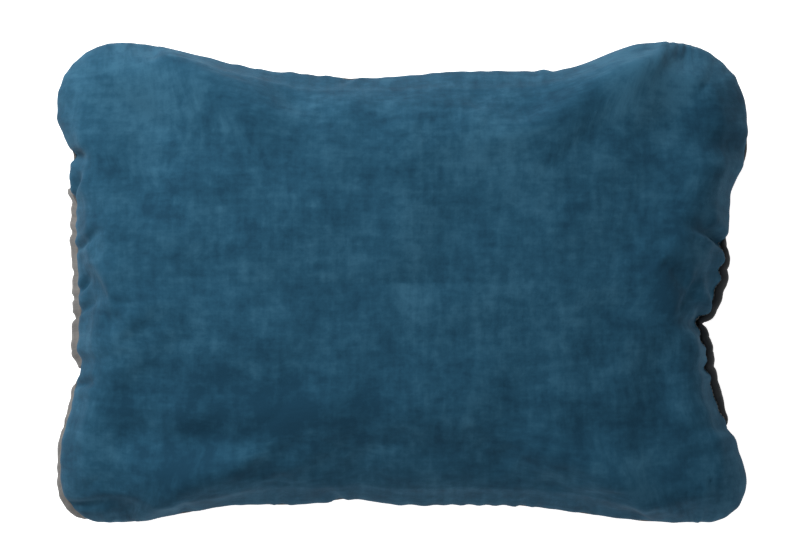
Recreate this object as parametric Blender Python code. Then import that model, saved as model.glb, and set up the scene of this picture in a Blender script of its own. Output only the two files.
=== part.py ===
"""Camp pillow: a stuffed fabric casing with a gathered mouth and a stow pocket at one end.

Metres, +Z up. The pillow lies on its back panel with its soft face up. The origin is under the
middle of the pillow, on the surface that it rests on. +X points to the end with the mouth.
"""

import math

import bmesh
import bpy
import numpy as np
from mathutils import Matrix, Vector

# Driving dimensions of the stuffed casing.
LENGTH = 0.565
WIDTH = 0.393
HEIGHT = 0.150
SEAM_HEIGHT = 0.068
CORNER_RADIUS = 0.056
CROWN_POWER = 3.0
FOOT_SHARE = 0.62

# How far the middle of each side draws in from the corners.
FAR_SIDE_WAIST = 0.027
NEAR_SIDE_WAIST = 0.017
MOUTH_END_WAIST = 0.016
CLOSED_END_WAIST = 0.014
WAIST_POWER = 1.4

# Cloth, seams, and the gaps that pieces keep from each other.
FACE_CLOTH = 0.0015
BACK_CLOTH = 0.0012
SEAM_ALLOWANCE = 0.008
OVERLOCK_WIDTH = 0.0040
OVERLOCK_THREAD = 0.0006
GAP = 0.0003
FILL_GAP = 0.0005

# The mouth: its width, and its pinch at the cord exit and its slack, from its near end.
MOUTH_FROM_CORNER = 0.0105
MOUTH_WIDTH = 0.180
MOUTH_BLEND = 0.012
MOUTH_GAP = 0.0030
PINCH_ALONG = 0.096
PINCH_DEPTH = 0.017
PINCH_WIDTH = 0.022
PINCH_TIP = 0.006
SLACK_ALONG = 0.050
SLACK_DEPTH = 0.015
SLACK_WIDTH = 0.050

# The tunnel for a drawcord, sewn round both lips of the mouth.
TUNNEL_DIAMETER = 0.0070
TUNNEL_CLOTH = 0.0007
TUNNEL_EXIT = 0.0060
LIP_GAP = 0.0034

# Stow pocket behind the mouth.
POCKET_DEPTH = 0.130
POCKET_CLOTH = 0.0006
POCKET_THICKNESS = 0.0020
POCKET_MARGIN = 0.002

# Care label and bar tacks, each on one flat facet of the back panel.
LABEL_X = -0.060
LABEL_WIDTH = 0.030
LABEL_LENGTH = 0.020
LABEL_CLOTH = 0.0004
TACK_LENGTH = 0.012
TACK_WIDTH = 0.0024
TACK_RISE = 0.0006

# Mesh fineness. The shares run from the middle of a panel (0) to its edge (1).
ARC_STEPS = 6
LONG_SIDE_STEPS = 12
CLOSED_END_STEPS = 8
MOUTH_STEPS = 18
BESIDE_MOUTH_STEPS = 4
MOUTH_FOCUS = 2.0
FILL_SHARE = 0.93
RIM_SHARE = 0.985
FACE_SHARES = (0.35, FOOT_SHARE, 0.80, FILL_SHARE, RIM_SHARE)
BACK_SHARES = (0.31, FOOT_SHARE, 0.80, FILL_SHARE, RIM_SHARE)
TUNNEL_SIDES = 8
TURN_STEPS = 5

# Places that follow from the sizes above: the ends of the mouth, its pinch and its slack, the
# tunnel's height above and below the seam, and the ends of its run between its two turns.
MOUTH_NEAR_Y = MOUTH_FROM_CORNER + CORNER_RADIUS - WIDTH / 2
MOUTH_FAR_Y = MOUTH_NEAR_Y + MOUTH_WIDTH
PINCH_Y = MOUTH_NEAR_Y + PINCH_ALONG
SLACK_Y = MOUTH_NEAR_Y + SLACK_ALONG
LIP_LIFT = (LIP_GAP + TUNNEL_DIAMETER) / 2
LIP_NEAR_Y = MOUTH_NEAR_Y + MOUTH_BLEND + LIP_LIFT + TUNNEL_DIAMETER / 2
LIP_FAR_Y = MOUTH_FAR_Y - MOUTH_BLEND - LIP_LIFT - TUNNEL_DIAMETER / 2
MEAN_RADIUS = (LENGTH + WIDTH) / 4

# Colours (linear) of the materials.
FACE_BLUE = (0.035, 0.105, 0.160, 1.0)
BACK_GREY = (0.140, 0.128, 0.118, 1.0)
TUNNEL_GREY = (0.045, 0.043, 0.042, 1.0)
POCKET_GREY = (0.030, 0.030, 0.032, 1.0)
FOAM_CREAM = (0.600, 0.560, 0.420, 1.0)
THREAD_GREY = (0.220, 0.210, 0.200, 1.0)
LABEL_WHITE = (0.620, 0.620, 0.600, 1.0)


def side_waist(along, half_span, depth):
    """How far a side draws in: depth at its middle, nothing at its ends, by a power of a cosine."""
    share = np.clip(along / half_span, -1.0, 1.0)
    return depth * np.maximum(np.cos(share * math.pi / 2), 0.0) ** WAIST_POWER


def mouth_end_x(y):
    """X of the casing's edge along the end with the mouth: its waist, sharp pinch and broad slack."""
    waist = side_waist(y, WIDTH / 2 - CORNER_RADIUS, MOUTH_END_WAIST)
    away = np.sqrt((y - PINCH_Y) ** 2 + PINCH_TIP**2) - PINCH_TIP
    pinch = PINCH_DEPTH * np.exp(-away / PINCH_WIDTH)
    slack = SLACK_DEPTH * np.exp(-(((y - SLACK_Y) / SLACK_WIDTH) ** 2))
    return LENGTH / 2 - waist - pinch - slack


def mouth_inset(y, depth):
    """X of a line that runs depth metres inside the mouth end's edge, measured square to it."""
    nudge = 0.0001
    slope = (mouth_end_x(y + nudge) - mouth_end_x(y - nudge)) / (2 * nudge)
    return mouth_end_x(y) - depth * np.hypot(1.0, slope)


def mouth_share(y):
    """1 along the mouth and 0 past its ends, with a smooth step between."""
    into = np.minimum(MOUTH_FAR_Y - y, y - MOUTH_NEAR_Y)
    t = np.clip(into / MOUTH_BLEND, 0.0, 1.0)
    return t * t * (3 - 2 * t)


def crowded(low, high, focus, steps):
    """Values from low to high that lie closer together near focus, by a hyperbolic sine."""
    eased = np.sinh(np.linspace(0.0, MOUTH_FOCUS, steps // 2 + 1)) / math.sinh(MOUTH_FOCUS)
    return np.concatenate([focus + (low - focus) * eased[::-1], focus + (high - focus) * eased[1:]])


def corner_arc(centre_x, centre_y, quarter, end_offset=0.0):
    """The inner points of a corner's arc, eased out by end_offset towards the mouth end."""
    share = np.linspace(0.0, 1.0, ARC_STEPS + 1)[1:-1]
    turn = (quarter + share) * math.pi / 2
    towards_end = share if quarter == 3 else 1 - share
    x = centre_x + CORNER_RADIUS * np.cos(turn) + end_offset * towards_end**2
    return np.column_stack([x, centre_y + CORNER_RADIUS * np.sin(turn)])


def casing_outline():
    """The casing's edge from above, anticlockwise: the mouth end first, an arc after each side."""
    half_x, half_y = LENGTH / 2, WIDTH / 2
    flat_x, flat_y = half_x - CORNER_RADIUS, half_y - CORNER_RADIUS
    mouth_y = crowded(MOUTH_NEAR_Y + MOUTH_BLEND, MOUTH_FAR_Y - MOUTH_BLEND, PINCH_Y, MOUTH_STEPS)
    beyond_y = np.linspace(MOUTH_FAR_Y, flat_y, BESIDE_MOUTH_STEPS + 1)
    end_y = np.concatenate([(-flat_y, MOUTH_NEAR_Y), mouth_y, beyond_y])
    side_x = np.linspace(flat_x, -flat_x, LONG_SIDE_STEPS + 1)
    closed_y = np.linspace(flat_y, -flat_y, CLOSED_END_STEPS + 1)
    return np.concatenate([
        np.column_stack([mouth_end_x(end_y), end_y]),
        corner_arc(flat_x, flat_y, 0, mouth_end_x(flat_y) - half_x),
        np.column_stack([side_x, half_y - side_waist(side_x, flat_x, FAR_SIDE_WAIST)]),
        corner_arc(-flat_x, flat_y, 1),
        np.column_stack([side_waist(closed_y, flat_y, CLOSED_END_WAIST) - half_x, closed_y]),
        corner_arc(-flat_x, -flat_y, 2),
        np.column_stack([-side_x, side_waist(side_x, flat_x, NEAR_SIDE_WAIST) - half_y]),
        corner_arc(flat_x, -flat_y, 3, mouth_end_x(-flat_y) - half_x),
    ])


OUTLINE = casing_outline()
OUTWARD = OUTLINE / np.linalg.norm(OUTLINE, axis=1)[:, None]
MOUTH = np.where(OUTLINE[:, 0] > 0, mouth_share(OUTLINE[:, 1]), 0.0)
# Along the mouth the panels stop short of the edge, where the tunnel lies outside them.
PANEL_OUTLINE = OUTLINE.copy()
TUNNEL_ROOM = OUTLINE[:, 0] - mouth_inset(OUTLINE[:, 1], TUNNEL_DIAMETER + GAP)
PANEL_OUTLINE[:, 0] -= MOUTH * TUNNEL_ROOM


def ring(share, inset, z):
    """One loop of the panels' outline, shrunk to share of itself and moved in by inset metres."""
    flat = PANEL_OUTLINE * share - OUTWARD * inset
    return np.column_stack([flat, np.broadcast_to(z, len(flat))])


def seam_lift(side):
    """Height of a panel's edge, which opens a little along the mouth; side is 1 on the face."""
    return SEAM_HEIGHT + side * (GAP + MOUTH * MOUTH_GAP) / 2


def panel_height(share, side):
    """Height of the face's crown (side 1), or of the back's flat foot and round side (side -1)."""
    if side > 0:
        return seam_lift(1) + (HEIGHT - SEAM_HEIGHT - GAP / 2) * math.sqrt(1 - share**CROWN_POWER)
    out = max(0.0, (share - FOOT_SHARE) / (1 - FOOT_SHARE))
    return seam_lift(-1) * (1 - math.sqrt(1 - out**CROWN_POWER))


def under_surface(shares, side, depth):
    """Rings that run depth metres inside a panel's outer surface, square to its mean profile."""
    nodes = np.array((0.0, *shares, 1.0))
    heights = np.array([np.mean(panel_height(share, side)) for share in nodes])
    rise = np.gradient(heights, nodes * MEAN_RADIUS)
    rings = []
    for share, slope in zip(shares, rise[1:-1]):
        slant = math.hypot(1.0, slope)
        inset = depth * abs(slope) / slant
        rings.append(ring(share, inset, panel_height(share, side) - side * depth / slant))
    return rings


def surface_material(name, colour, roughness):
    """A Principled material of one colour."""
    material = bpy.data.materials.new(name)
    material.use_nodes = True
    shader = material.node_tree.nodes["Principled BSDF"]
    shader.inputs["Base Color"].default_value = colour
    shader.inputs["Roughness"].default_value = roughness
    material.diffuse_color = colour
    return material


def add_object(name, mesh, material):
    """Link a mesh as a named object with its material."""
    item = bpy.data.objects.new(name, mesh)
    mesh.materials.append(material)
    bpy.context.scene.collection.objects.link(item)
    return item


def mesh_from(name, points, faces):
    """A mesh of points and faces, with its normals turned outwards and its round parts smooth."""
    mesh = bpy.data.meshes.new(name)
    mesh.from_pydata([tuple(point) for point in points], [], faces)
    shape = bmesh.new()
    shape.from_mesh(mesh)
    bmesh.ops.recalc_face_normals(shape, faces=shape.faces)
    shape.to_mesh(mesh)
    shape.free()
    mesh.shade_smooth()
    mesh.set_sharp_from_angle(angle=math.radians(40))
    return mesh


def band_faces(first, second, count, closed):
    """Quads between two rows of count points that start at the given indices."""
    last = count if closed else count - 1
    return [
        (first + i, first + (i + 1) % count, second + (i + 1) % count, second + i)
        for i in range(last)
    ]


def shell_mesh(name, rings, top, bottom):
    """A closed body of loops, ending in a fan at a top point and a fan at a bottom point."""
    count = len(rings[0])
    points = np.concatenate([[top], *rings, [bottom]])
    faces = [(0, 1 + i, 1 + (i + 1) % count) for i in range(count)]
    for row in range(len(rings) - 1):
        faces += band_faces(1 + row * count, 1 + (row + 1) * count, count, closed=True)
    last, end = 1 + (len(rings) - 1) * count, len(points) - 1
    faces += [(end, last + (i + 1) % count, last + i) for i in range(count)]
    return mesh_from(name, points, faces)


def loft_mesh(name, sections, closed_path):
    """A body swept through sections, which are closed loops; an open path is capped at each end."""
    count = len(sections[0])
    points = np.concatenate(sections)
    faces = []
    rows = len(sections)
    for row in range(rows if closed_path else rows - 1):
        faces += band_faces(row * count, (row + 1) % rows * count, count, closed=True)
    if not closed_path:
        faces += [tuple(range(count)), tuple(range((rows - 1) * count, rows * count))]
    return mesh_from(name, points, faces)


def build_panel(name, shares, side, cloth, material):
    """A casing panel: its crown, its seam allowance turned in at the edge, and its inner face."""
    outer = [ring(share, 0.0, panel_height(share, side)) for share in shares]
    edge = seam_lift(side)
    slant = (1 - RIM_SHARE) * MEAN_RADIUS / abs(np.mean(panel_height(RIM_SHARE, side) - edge))
    wall = cloth * (math.hypot(1.0, slant) + slant)
    turned_in = [
        ring(1.0, 0.0, edge),
        ring(1.0, SEAM_ALLOWANCE, edge),
        ring(1.0, SEAM_ALLOWANCE, edge + side * cloth),
        ring(1.0, wall, edge + side * cloth),
    ]
    inner = under_surface(shares, side, cloth)[::-1]
    middle = np.mean(panel_height(0.0, side))
    crown = HEIGHT if side > 0 else middle
    ends = (0.0, 0.0, crown), (0.0, 0.0, crown - side * cloth)
    return add_object(name, shell_mesh(name, [*outer, *turned_in, *inner], *ends), material)


def pocket_span():
    """The y values at the pocket's two sides, and the x of its closed end."""
    near, far = LIP_NEAR_Y + POCKET_MARGIN, LIP_FAR_Y - POCKET_MARGIN
    return near, far, float(mouth_end_x(PINCH_Y)) - POCKET_DEPTH


def build_fill(material):
    """The block of foam, a gap inside both panels, clear of the seam and slit for the pocket."""
    face = under_surface(FACE_SHARES[:-1], 1, FACE_CLOTH + FILL_GAP)
    back = under_surface(BACK_SHARES[:-1], -1, BACK_CLOTH + FILL_GAP)[::-1]
    top = (0.0, 0.0, HEIGHT - FACE_CLOTH - FILL_GAP)
    mesh = shell_mesh("foam_fill", [*face, *back], top, (0.0, 0.0, BACK_CLOTH + FILL_GAP))
    fill = add_object("foam_fill", mesh, material)

    near, far, deep = pocket_span()
    low = Vector((deep - FILL_GAP, near - FILL_GAP, SEAM_HEIGHT - POCKET_THICKNESS / 2 - FILL_GAP))
    high = Vector((LENGTH / 2, far + FILL_GAP, SEAM_HEIGHT + POCKET_THICKNESS / 2 + FILL_GAP))
    slit = bpy.data.objects.new("pocket_slit", bpy.data.meshes.new("pocket_slit"))
    shape = bmesh.new()
    size = Matrix.Diagonal((*(high - low), 1.0))
    bmesh.ops.create_cube(shape, size=1.0, matrix=Matrix.Translation((low + high) / 2) @ size)
    shape.to_mesh(slit.data)
    shape.free()
    slit.hide_render = True
    slit.display_type = "WIRE"
    bpy.context.scene.collection.objects.link(slit)
    cut = fill.modifiers.new("pocket_slit", "BOOLEAN")
    cut.operation = "DIFFERENCE"
    cut.object = slit
    return fill


def build_overlock(material):
    """The thread wrapped over both seam allowances' raw edges, all round except at the mouth."""
    sewn = np.flatnonzero(MOUTH == 0.0)
    # The stations beyond the mouth's far end come first, so that the band runs in one stretch.
    start = np.flatnonzero(np.diff(sewn) > 1)[0] + 1
    sewn = np.roll(sewn, -start)
    outer_edge = SEAM_ALLOWANCE - OVERLOCK_WIDTH
    tip = SEAM_ALLOWANCE + GAP
    top = GAP / 2 + FACE_CLOTH + GAP
    foot = -(GAP / 2 + BACK_CLOTH + GAP)
    profile = [
        (outer_edge, top),
        (tip, top),
        (tip, foot),
        (outer_edge, foot),
        (outer_edge, foot - OVERLOCK_THREAD),
        (tip + OVERLOCK_THREAD, foot - OVERLOCK_THREAD),
        (tip + OVERLOCK_THREAD, top + OVERLOCK_THREAD),
        (outer_edge, top + OVERLOCK_THREAD),
    ]
    loops = np.array([ring(1.0, inset, SEAM_HEIGHT + z) for inset, z in profile])
    sections = [loops[:, station] for station in sewn]
    return add_object("seam_overlock", loft_mesh("seam_overlock", sections, False), material)


def lip_points(y, lift):
    """Points along the middle of the tunnel on one lip of the mouth."""
    x = mouth_inset(y, TUNNEL_DIAMETER / 2)
    return np.column_stack([x, y, np.full(len(y), SEAM_HEIGHT + lift)])


def lip_turn(y, direction):
    """The half turn that takes the tunnel from one lip to the other at an end of the mouth."""
    turn = np.linspace(0.0, math.pi, TURN_STEPS + 1)[1:-1]
    bend_y = y + direction * LIP_LIFT * np.sin(turn)
    x = mouth_inset(bend_y, TUNNEL_DIAMETER / 2)
    return np.column_stack([x, bend_y, SEAM_HEIGHT + LIP_LIFT * np.cos(turn)])


def build_tunnel(material):
    """The tunnel: one cloth tube round both lips, open at the two ends that face each other."""
    spread = crowded(LIP_NEAR_Y, LIP_FAR_Y, PINCH_Y, MOUTH_STEPS)
    below = spread[spread < PINCH_Y - TUNNEL_EXIT / 2]
    above = spread[spread > PINCH_Y + TUNNEL_EXIT / 2]
    path = np.concatenate([
        lip_points(np.append(below, PINCH_Y - TUNNEL_EXIT / 2)[::-1], LIP_LIFT),
        lip_turn(LIP_NEAR_Y, -1),
        lip_points(spread, -LIP_LIFT),
        lip_turn(LIP_FAR_Y, 1)[::-1],
        lip_points(np.insert(above, 0, PINCH_Y + TUNNEL_EXIT / 2)[::-1], LIP_LIFT),
    ])
    along = np.gradient(path, axis=0)
    along /= np.linalg.norm(along, axis=1)[:, None]
    out = np.array((1.0, 0.0, 0.0)) - along * along[:, :1]
    out /= np.linalg.norm(out, axis=1)[:, None]
    across = np.cross(along, out)
    turn = np.linspace(0.0, 2 * math.pi, TUNNEL_SIDES, endpoint=False)[:, None, None]
    circle = np.cos(turn) * out + np.sin(turn) * across

    outside = path + circle * TUNNEL_DIAMETER / 2
    inside = path + circle * (TUNNEL_DIAMETER / 2 - TUNNEL_CLOTH)
    # The wall's section at each side of the tube is a loop: out along it and back inside.
    sections = [np.concatenate([outside[side], inside[side][::-1]]) for side in range(TUNNEL_SIDES)]
    return add_object("mouth_tunnel", loft_mesh("mouth_tunnel", sections, True), material)


def build_pocket(material):
    """The stow pocket, a flat pouch that lies in the foam and opens between the mouth's lips."""
    near, far, deep = pocket_span()
    y = np.linspace(near, far, MOUTH_STEPS + 1)
    lip = mouth_inset(y, TUNNEL_DIAMETER / 2)
    rows = []
    for x, z in ((lip, 1), (np.full(len(y), deep), 1), (np.full(len(y), deep), -1), (lip, -1)):
        rows.append(np.column_stack([x, y, np.full(len(y), SEAM_HEIGHT + z * POCKET_THICKNESS / 2)]))
    count = len(y)
    faces = []
    for row in range(3):
        faces += band_faces(row * count, (row + 1) * count, count, closed=False)
    faces += [(0, count, 2 * count, 3 * count)]
    faces += [(count - 1, 2 * count - 1, 3 * count - 1, 4 * count - 1)]
    pocket = add_object("pocket_liner", mesh_from("pocket_liner", np.concatenate(rows), faces), material)
    wall = pocket.modifiers.new("cloth", "SOLIDIFY")
    wall.thickness = POCKET_CLOTH
    wall.offset = -1.0
    wall.use_even_offset = True
    return pocket


def back_facet(station, low_share, high_share):
    """Frame of one flat facet of the back panel: x along its edge, y up its slope, z outwards."""
    here, beyond = station, (station + 1) % len(PANEL_OUTLINE)
    low = ring(low_share, 0.0, panel_height(low_share, -1))
    high = ring(high_share, 0.0, panel_height(high_share, -1))
    corners = [Vector(point) for point in (low[here], low[beyond], high[beyond], high[here])]
    along = (corners[1] - corners[0]).normalized()
    normal = along.cross(corners[3] - corners[0]).normalized()
    up = normal.cross(along)
    frame = Matrix((along, up, normal)).transposed().to_4x4()
    frame.translation = sum(corners, Vector()) / 4
    return frame


def build_patch(name, frame, size, material):
    """A thin block on a facet: its size along, up and out, the usual gap off the cloth."""
    shape = bmesh.new()
    lift = Matrix.Translation((0.0, 0.0, GAP + size[2] / 2))
    bmesh.ops.create_cube(shape, size=1.0, matrix=lift @ Matrix.Diagonal((*size, 1.0)))
    mesh = bpy.data.meshes.new(name)
    shape.to_mesh(mesh)
    shape.free()
    patch = add_object(name, mesh, material)
    patch.matrix_world = frame
    return patch


def near_side_station(x):
    """The station of the near side whose facet holds x."""
    first = len(OUTLINE) - (ARC_STEPS - 1) - (LONG_SIDE_STEPS + 1)
    stations = np.arange(first, first + LONG_SIDE_STEPS)
    middles = (OUTLINE[stations, 0] + OUTLINE[stations + 1, 0]) / 2
    return int(stations[np.argmin(abs(middles - x))])


def main():
    """Model every piece of the pillow."""
    for item in list(bpy.data.objects):
        bpy.data.objects.remove(item, do_unlink=True)

    face_suede = surface_material("face_suede", FACE_BLUE, 0.95)
    back_weave = surface_material("back_weave", BACK_GREY, 0.85)
    thread = surface_material("thread", THREAD_GREY, 0.70)
    build_panel("front_panel", FACE_SHARES, 1, FACE_CLOTH, face_suede)
    build_panel("back_panel", BACK_SHARES, -1, BACK_CLOTH, back_weave)
    build_fill(surface_material("foam", FOAM_CREAM, 0.95))
    build_overlock(thread)
    build_tunnel(surface_material("tunnel_weave", TUNNEL_GREY, 0.80))
    build_pocket(surface_material("pocket_taffeta", POCKET_GREY, 0.60))

    label_size = (LABEL_WIDTH, LABEL_LENGTH, LABEL_CLOTH)
    label_frame = back_facet(near_side_station(LABEL_X), FILL_SHARE, RIM_SHARE)
    build_patch("care_label", label_frame, label_size, surface_material("label", LABEL_WHITE, 0.55))
    opened = np.flatnonzero(MOUTH > 0.0)
    tack_size = (TACK_WIDTH, TACK_LENGTH, TACK_RISE)
    for name, station in (("near_bar_tack", opened[0] - 2), ("far_bar_tack", opened[-1] + 1)):
        build_patch(name, back_facet(int(station), RIM_SHARE, 1.0), tack_size, thread)


main()
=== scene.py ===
"""Camp pillow, dressed for the studio: sewn covers, gathered mouth, seam, filling and trim.

The covers are cut flat, sewn along one seam, inflated by cloth simulation and settled to the
casing's outline. Metres, +Z up; the pillow lies on its back cover with its soft face up.
"""

import logging
import math
from dataclasses import dataclass
from enum import Enum

import bpy
import numpy as np
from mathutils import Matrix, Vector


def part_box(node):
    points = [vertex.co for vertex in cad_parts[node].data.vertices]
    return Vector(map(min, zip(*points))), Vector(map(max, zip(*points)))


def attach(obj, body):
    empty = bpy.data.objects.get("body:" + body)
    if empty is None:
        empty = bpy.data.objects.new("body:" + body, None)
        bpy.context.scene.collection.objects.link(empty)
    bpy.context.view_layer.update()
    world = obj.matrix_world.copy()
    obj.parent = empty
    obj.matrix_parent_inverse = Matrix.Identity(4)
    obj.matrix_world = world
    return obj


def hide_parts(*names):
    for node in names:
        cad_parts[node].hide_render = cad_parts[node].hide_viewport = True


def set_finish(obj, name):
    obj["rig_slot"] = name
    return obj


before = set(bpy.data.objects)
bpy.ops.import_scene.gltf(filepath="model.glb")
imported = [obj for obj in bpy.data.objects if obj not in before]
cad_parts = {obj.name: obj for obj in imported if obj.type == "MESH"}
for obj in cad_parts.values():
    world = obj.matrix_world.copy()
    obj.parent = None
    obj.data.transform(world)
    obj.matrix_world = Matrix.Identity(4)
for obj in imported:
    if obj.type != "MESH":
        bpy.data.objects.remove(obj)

LOG = logging.getLogger("camp_pillow")
Array = np.ndarray
Colour = tuple[float, float, float]
BODY = "root"


class Slot(Enum):
    """The finishes of the record that pieces take."""

    FACE = "face_suede"
    BACK = "back_weave"
    TUNNEL = "tunnel_weave"
    POCKET = "pocket_taffeta"
    FOAM = "foam"
    THREAD = "thread"
    LABEL = "label"


class Side(Enum):
    """Which cover a piece belongs to; the value is its direction along Z."""

    FACE = 1
    BACK = -1


def smooth_step(t: Array) -> Array:
    """A cubic that rises from 0 to 1 as t does."""
    t = np.clip(t, 0.0, 1.0)
    return t * t * (3 - 2 * t)


def bell(t: Array) -> Array:
    """A bell curve of height 1 and unit width."""
    return np.exp(-np.square(t))


def soft_least(first: Array, second: Array, blend: Array) -> Array:
    """The lesser of two values, blended where they are close to one another."""
    return np.minimum(first, second) - blend * np.log1p(np.exp(-abs(first - second) / blend))


def soft_noise(t: Array, waves: int, seed: int) -> Array:
    """A smooth random wave along t, which repeats each whole number.

    Args:
        t: Places along the wave.
        waves: The highest count of waves in one length.
        seed: Picks the phases.

    Returns:
        Values with a standard deviation of about 1.
    """
    rng = np.random.default_rng(seed)
    counts = np.arange(max(1, waves // 3), waves + 1)
    phases = rng.uniform(0.0, 2 * math.pi, len(counts))
    heights = rng.uniform(0.5, 1.0, len(counts))
    total = np.zeros_like(t)
    for count, phase, height in zip(counts, phases, heights):
        total += height * np.sin(2 * math.pi * count * t + phase)
    return total / math.sqrt(np.sum(heights**2) / 2)


def finer(grid: Array) -> Array:
    """A grid with a point added between each two, on a cubic through the four nearest.

    Args:
        grid: Rows by columns by values.

    Returns:
        The grid with nearly twice the rows and columns.
    """
    for axis in (0, 1):
        grid = np.moveaxis(grid, axis, 0)
        before = 2 * grid[:1] - grid[1:2]
        after = 2 * grid[-1:] - grid[-2:-1]
        wide = np.concatenate([before, grid, after])
        middle = (9 * (wide[1:-2] + wide[2:-1]) - wide[:-3] - wide[3:]) / 16
        out = np.empty((2 * len(grid) - 1, *grid.shape[1:]))
        out[::2] = grid
        out[1::2] = middle
        grid = np.moveaxis(out, 0, axis)
    return grid


def unit(vectors: Array) -> Array:
    """Vectors scaled to length 1."""
    return vectors / np.maximum(np.linalg.norm(vectors, axis=-1, keepdims=True), 1e-9)


def grid_normals(grid: Array, sign: int) -> Array:
    """Unit normals of a grid of points, from the cross product of its two gradients."""
    return unit(np.cross(np.gradient(grid, axis=1), np.gradient(grid, axis=0)) * sign)


def blur(grid: Array, rounds: int) -> Array:
    """A grid whose inner points take the mean of their four neighbours, round after round."""
    grid = grid.copy()
    for _ in range(rounds):
        grid[1:-1, 1:-1] = (grid[:-2, 1:-1] + grid[2:, 1:-1] + grid[1:-1, :-2] + grid[1:-1, 2:]) / 4
    return grid


def run_length(path: Array) -> Array:
    """Distance along a path to each of its points."""
    return np.concatenate([[0.0], np.cumsum(np.linalg.norm(np.diff(path, axis=0), axis=1))])


def read_along(place: Array, run: Array, values: Array) -> Array:
    """Rows of values at places along a path, mixed between the rows on both sides."""
    return np.column_stack([np.interp(place, run, column) for column in values.T])


def rim_order(rows: int, columns: int) -> Array:
    """Flat indices of a grid's rim, anticlockwise from its first corner."""
    index = np.arange(rows * columns).reshape(rows, columns)
    return np.concatenate([index[0, :-1], index[:-1, -1], index[-1, :0:-1], index[:0:-1, 0]])


def grid_quads(index: Array, flip: bool = False) -> Array:
    """Quads between the neighbours of a grid of indices."""
    quads = np.stack([index[:-1, :-1], index[:-1, 1:], index[1:, 1:], index[1:, :-1]], axis=-1)
    quads = quads.reshape(-1, 4)
    return quads[:, ::-1] if flip else quads


def loop_quads(first: Array, second: Array, closed: bool = True) -> Array:
    """Quads between two rows of indices of the same length."""
    if closed:
        return np.column_stack([first, np.roll(first, -1), np.roll(second, -1), second])
    return np.column_stack([first[:-1], first[1:], second[1:], second[:-1]])


def closed_shell(first: Array, loops: list[Array], last: Array) -> tuple[Array, Array]:
    """Join two grids of the same shape into a closed shell, by way of loops between their rims.

    Args:
        first: The outer grid.
        loops: Loops of points, each as long as a rim, in order from the first rim to the last.
        last: The inner grid.

    Returns:
        The shell's points and its quads.
    """
    rows, columns, values = first.shape
    rim = rim_order(rows, columns)
    index = np.arange(rows * columns).reshape(rows, columns)
    rings = index.size + np.arange(len(loops) * len(rim)).reshape(len(loops), len(rim))
    end = index.size + rings.size
    chain = [rim, *rings, end + rim]
    walls = [loop_quads(after, before) for before, after in zip(chain, chain[1:])]
    points = np.concatenate([first.reshape(-1, values), *loops, last.reshape(-1, values)])
    return points, np.concatenate([grid_quads(index), *walls, grid_quads(end + index, flip=True)])


def make_piece(
    name: str, points: Array, faces: Array | list, cloth_map: Array | None = None
) -> bpy.types.Object:
    """Make a smooth mesh object at the origin.

    Args:
        name: The piece's name.
        points: Its points, in metres.
        faces: Its faces, as rows of indices.
        cloth_map: For each point, its place on the cut cloth in metres, for a UV map.

    Returns:
        The new object, linked to the scene.
    """
    mesh = bpy.data.meshes.new(name)
    mesh.from_pydata(points.reshape(-1, 3).tolist(), [], [list(map(int, face)) for face in faces])
    mesh.shade_smooth()
    if cloth_map is not None:
        layer = mesh.uv_layers.new(name="cloth")
        corners = np.empty(len(mesh.loops), dtype=np.int32)
        mesh.loops.foreach_get("vertex_index", corners)
        layer.uv.foreach_set("vector", cloth_map.reshape(-1, 2)[corners].astype(np.float32).ravel())
    mesh.update()
    item = bpy.data.objects.new(name, mesh)
    bpy.context.scene.collection.objects.link(item)
    return item


def settle(item: bpy.types.Object, slot: Slot, *replaced: str) -> bpy.types.Object:
    """Give a piece its body, its slot and the nodes that it stands for, and report it."""
    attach(item, BODY)
    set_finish(item, slot.value)
    if replaced:
        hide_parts(*replaced)
    LOG.info("%s: %d faces", item.name, len(item.data.polygons))
    return item


def sweep(path: Array, radii: Array, sides: int, up: tuple[float, ...]) -> Array:
    """Points of a tube: a circle of the given radius square to the path at each of its points.

    Args:
        path: The middle line's points.
        radii: The tube's radius, one for each point, or one for each point and side.
        sides: How many points each circle has.
        up: A direction that never runs along the path, from which the circles start.

    Returns:
        Path points by sides by 3.
    """
    along = unit(np.gradient(path, axis=0))
    first = unit(np.array(up) - along * (along @ np.array(up))[:, None])
    second = np.cross(along, first)
    turn = np.linspace(0.0, 2 * math.pi, sides, endpoint=False)
    circle = np.cos(turn)[None, :, None] * first[:, None] + np.sin(turn)[None, :, None] * second[:, None]
    radii = np.broadcast_to(radii if np.ndim(radii) == 2 else np.reshape(radii, (-1, 1)), circle.shape[:2])
    return path[:, None] + circle * radii[:, :, None]


def tube_faces(rings: int, sides: int) -> list[list[int]]:
    """Faces of a swept tube, with a flat cap at each end."""
    index = np.arange(rings * sides).reshape(rings, sides)
    wrapped = np.concatenate([index, index[:, :1]], axis=1)
    return [*grid_quads(wrapped, flip=True).tolist(), index[0][::-1].tolist(), index[-1].tolist()]


# ------------------------------------------------------------
# Finishes
# ------------------------------------------------------------


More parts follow.
